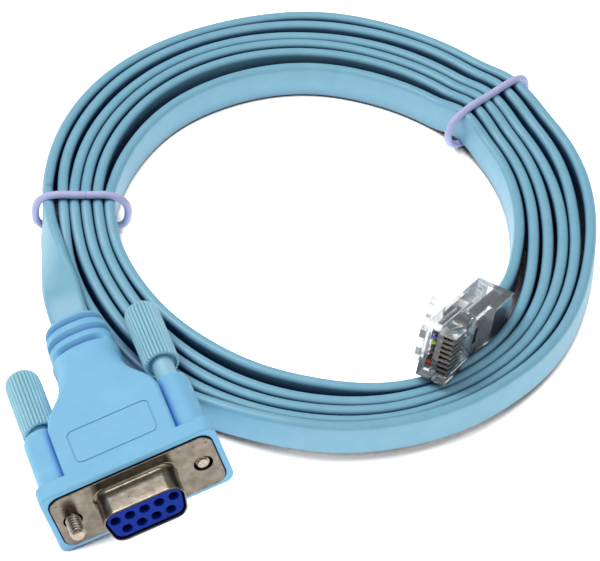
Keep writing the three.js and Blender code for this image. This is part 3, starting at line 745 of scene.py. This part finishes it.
# ------------------------------------------------------------------ the two thumbscrews
def thumbscrew(side, x, shift):
    f = 22.3 + shift
    back = f + 15.6
    neck = f - 14.2
    tip = -4.15 + shift
    prof = [(1.75, neck), (1.9, neck + 0.02), (2.0, neck + 0.15), (2.0, f - 2.0), (2.0, f + 0.5), (2.1, f + 0.62), (2.55, f + 0.6), (2.68, f + 0.45), (2.74, f + 0.1), (2.86, f), (3.15, f + 0.02), (3.3, f + 0.14),
            (3.35, f + 0.4), (3.35, f + 5.0), (3.35, f + 10.0), (3.35, back - 2.4), (3.31, back - 1.8), (3.2, back - 1.3), (2.98, back - 0.85), (2.65, back - 0.48), (2.2, back - 0.2), (1.6, back - 0.04), (0.9, back), (0.02, back),
            (0.02, f + 8.45), (1.75, f + 8.4)]
    wt = [0] * 9 + [0.5, 0.8, 1, 1, 1, 1, 1, 1, 1, 0.9, 0.7, 0.4, 0.1, 0, 0, 0, 0]
    k = turned("thumbscrew_%s_grip" % side, prof, 28 * 8, DSUB, x=x, ribs=28, amp=0.3, weight=wt, closed=True)
    finish_mesh(k, MAT["knob"], 48)
    piece(k, "hood", "thumbscrew_%s_knob" % side, body="knob_" + side)
    # The metal screw: a cut thread to 9 mm behind the tip, then the plain shank.
    pitch = 0.635
    seg = 24
    th = np.linspace(0, 2 * math.pi, seg, endpoint=False)
    rings = [np.stack([x + 0.02 * np.cos(th), np.full(seg, tip), 0.02 * np.sin(th)], axis=1),
             np.stack([x + 0.8 * np.cos(th), np.full(seg, tip), 0.8 * np.sin(th)], axis=1),
             np.stack([x + 0.98 * np.cos(th), np.full(seg, tip + 0.05), 0.98 * np.sin(th)], axis=1)]
    end = tip + 9.0
    ys = np.arange(tip + 0.12, end, pitch / 8)
    for y in ys:
        ph = ((y / pitch) - th / (2 * math.pi)) % 1.0
        tooth = 1 - np.abs(2 * ph - 1)
        start = min(1.0, (y - tip) / 0.7)
        depth = 0.33 * min(1.0, (end - y) / 0.6)
        r = 1.42 - depth * (1 - np.clip(tooth * 1.25 - 0.05, 0, 1)) - 0.34 * (1 - start)
        rings.append(np.stack([x + r * np.cos(th), np.full(seg, y), r * np.sin(th)], axis=1))
    for y, r in ((end + 0.2, 1.42), (f + 7.9, 1.42), (f + 8.0, 1.3), (f + 8.0, 0.02)):
        rings.append(np.stack([x + r * np.cos(th), np.full(seg, y), r * np.sin(th)], axis=1))
    v, fc = ring_mesh(rings)
    o = make("thumbscrew_%s_thread" % side, v, fc, DSUB, MAT["screw"], 34)
    piece(o, "nickel", "thumbscrew_%s_screw" % side, body="screw_" + side)


thumbscrew("left", -12.495, 0.0)
thumbscrew("right", 12.495, 4.1)


# ------------------------------------------------------------------ the clear modular plug
PW, PL, H_NOSE, H_REAR, S_REAR = 11.68, 21.46, 5.85, 7.45, 13.4
PITCH, WIRE_H = 1.02, 1.75


def bx(name, s0, s1, h0, h1, r0, r1, edge=0.0):
    return prism(name, [(s0, h0), (s1, h0), (s1, h1), (s0, h1)], r0, r1, "z", PLUG, edge, 2)


def plug_shell():
    body = bx("plug_moulding", 0, S_REAR + 1, 0, H_NOSE, 0, PW)
    boolean(body, prism("rear", [(S_REAR - 1.3, 3), (S_REAR, H_REAR), (PL, H_REAR), (PL, 0), (S_REAR - 3, 0)], 0, PW, "z", PLUG), "UNION")
    boolean(body, prism("root", [(0.3, 0.3), (0.3, -1.3), (2.4, -1.95), (6.2, -3.0), (6.3, -2.0), (2.9, -0.75), (2.3, 0.3)], 2.7, 9.0, "z", PLUG), "UNION")
    boolean(body, prism("tab", [(5.4, -2.75), (10.5, -4.4), (15.3, -5.95), (15.5, -5.0), (10.6, -3.4), (5.4, -1.6)], 4.2, 7.5, "z", PLUG), "UNION")
    boolean(body, bx("c1", 9.6, PL + 1, 2.15, 5.35, PW / 2 - 4.1, PW / 2 + 4.1), "DIFFERENCE")
    boolean(body, bx("c2", -1, 10, WIRE_H - 0.62, WIRE_H + 0.62, PW / 2 - 4.25, PW / 2 + 4.25), "DIFFERENCE")
    boolean(body, bx("c3", 7.6, 10.2, WIRE_H - 0.62, 3.9, PW / 2 - 4.1, PW / 2 + 4.1), "DIFFERENCE")
    boolean(body, bx("c4", -1, 12.3, 2.7, 3.15, -1, 0.6), "DIFFERENCE")
    boolean(body, bx("c5", -1, 12.3, 2.7, 3.15, PW - 0.6, PW + 1), "DIFFERENCE")
    boolean(body, bx("c6", 9.4, 12.4, 5.3, 7, PW / 2 - 2.4, PW / 2 + 2.4), "DIFFERENCE")
    for i in range(8):
        r = PW / 2 + (i - 3.5) * PITCH
        boolean(body, bx("slot", 0.4, 5.4, 1.9, H_NOSE + 1, r - 0.3, r + 0.3), "DIFFERENCE")
        boolean(body, bx("slot", -1, 0.6, 3.5, H_NOSE + 1, r - 0.3, r + 0.3), "DIFFERENCE")
    m = body.modifiers.new("edge", "BEVEL")
    m.width = 0.00011
    m.segments = 2
    m.limit_method = "ANGLE"
    m.angle_limit = math.radians(35)
    m.use_clamp_overlap = True
    apply(body)
    finish_mesh(body, MAT["clear"], 40)
    return piece(body, "clear", "plug_body")


plug_body = plug_shell()
for i in range(8):
    r = PW / 2 + (i - 3.5) * PITCH
    # A stamped blade with a crowned upper edge.
    top = [(5.0, 4.75)] + [(0.5 + 4.5 * t, 4.75 + 0.58 * math.sin(math.pi * t) ** 0.6) for t in np.linspace(0.95, 0.05, 12)] + [(0.5, 4.75)]
    blade = prism("contact_blade_%d" % (i + 1), [(0.5, 2.6), (5.0, 2.6)] + top, r - 0.15, r + 0.15, "z", PLUG, 0.04, 2)
    finish_mesh(blade, MAT["gold"], 40)
    piece(blade, "gold", "contact_%d" % (i + 1))
    rings = []
    th = np.linspace(0, 2 * math.pi, 18, endpoint=False)
    for s, rr in ((0.36, 0.03), (0.36, 0.24), (0.38, 0.4), (0.46, 0.43), (4.0, 0.43), (7.0, 0.43), (9.45, 0.43), (9.53, 0.36), (9.53, 0.02)):
        rings.append(np.stack([np.full(18, s), WIRE_H + rr * np.cos(th), r + rr * np.sin(th)], axis=1))
    v, f = ring_mesh(rings)
    w = make("conductor_%d" % (i + 1), v, f, PLUG, MAT["wire_%d" % (i + 1)], 50)
    piece(w, "wire_%d" % (i + 1), "wire_%d" % (i + 1))


# ------------------------------------------------------------------ stage and light
def stage():
    me = bpy.data.meshes.new("floor")
    me.from_pydata([(-3, -3, 0), (3, -3, 0), (3, 3, 0), (-3, 3, 0)], [], [(0, 1, 2, 3)])
    o = bpy.data.objects.new("floor", me)
    bpy.context.scene.collection.objects.link(o)
    m = bpy.data.materials.new("floor")
    m.use_nodes = True
    b = m.node_tree.nodes["Principled BSDF"]
    nt = m.node_tree
    # Paper white, with a little glow to keep it evenly bright; painted shade drops its colour and glow to near black in
    # the slits between strands, by ambient occlusion.
    ao = nt.nodes.new("ShaderNodeAmbientOcclusion")
    ao.inputs["Distance"].default_value = 0.006
    ao.samples = 8
    for key, low, high in (("Base Color", 0.02, 0.94), ("Emission Strength", 0.0, 0.82)):
        near = nt.nodes.new("ShaderNodeMapRange")
        near.inputs["From Min"].default_value = 0.34
        near.inputs["From Max"].default_value = 0.5
        near.inputs["To Min"].default_value = low
        near.inputs["To Max"].default_value = high
        nt.links.new(ao.outputs["AO"], near.inputs["Value"])
        nt.links.new(near.outputs["Result"], b.inputs[key])
    b.inputs["Roughness"].default_value = 0.9
    b.inputs["Specular IOR Level"].default_value = 0.1
    b.inputs["Emission Color"].default_value = (1, 1, 1, 1)
    me.materials.append(m)
    w = bpy.data.worlds.new("world")
    w.use_nodes = True
    nt = w.node_tree
    tc = nt.nodes.new("ShaderNodeTexCoord")
    sp = nt.nodes.new("ShaderNodeSeparateXYZ")
    ramp = nt.nodes.new("ShaderNodeValToRGB")
    ramp.color_ramp.elements[0].position = 0.0
    ramp.color_ramp.elements[0].color = (0.16, 0.16, 0.17, 1)
    ramp.color_ramp.elements[1].position = 0.85
    ramp.color_ramp.elements[1].color = (1, 1, 1, 1)
    mid = ramp.color_ramp.elements.new(0.35)
    mid.color = (0.34, 0.34, 0.35, 1)
    nt.links.new(tc.outputs["Generated"], sp.inputs["Vector"])
    nt.links.new(sp.outputs["Z"], ramp.inputs["Fac"])
    nt.links.new(ramp.outputs["Color"], nt.nodes["Background"].inputs[0])
    nt.nodes["Background"].inputs[1].default_value = 0.54
    bpy.context.scene.world = w

    def area(name, loc, size, power, aim=(0, 0.04, 0)):
        ld = bpy.data.lights.new(name, "AREA")
        ld.energy = power
        ld.size = size
        lo = bpy.data.objects.new(name, ld)
        bpy.context.scene.collection.objects.link(lo)
        lo.location = loc
        lo.rotation_euler = (Vector(aim) - Vector(loc)).to_track_quat("-Z", "Y").to_euler()

    area("key", (-0.45, 0.35, 0.9), 0.5, 5.9)
    area("fill", (0.3, -0.6, 0.8), 0.7, 2.0)


stage()
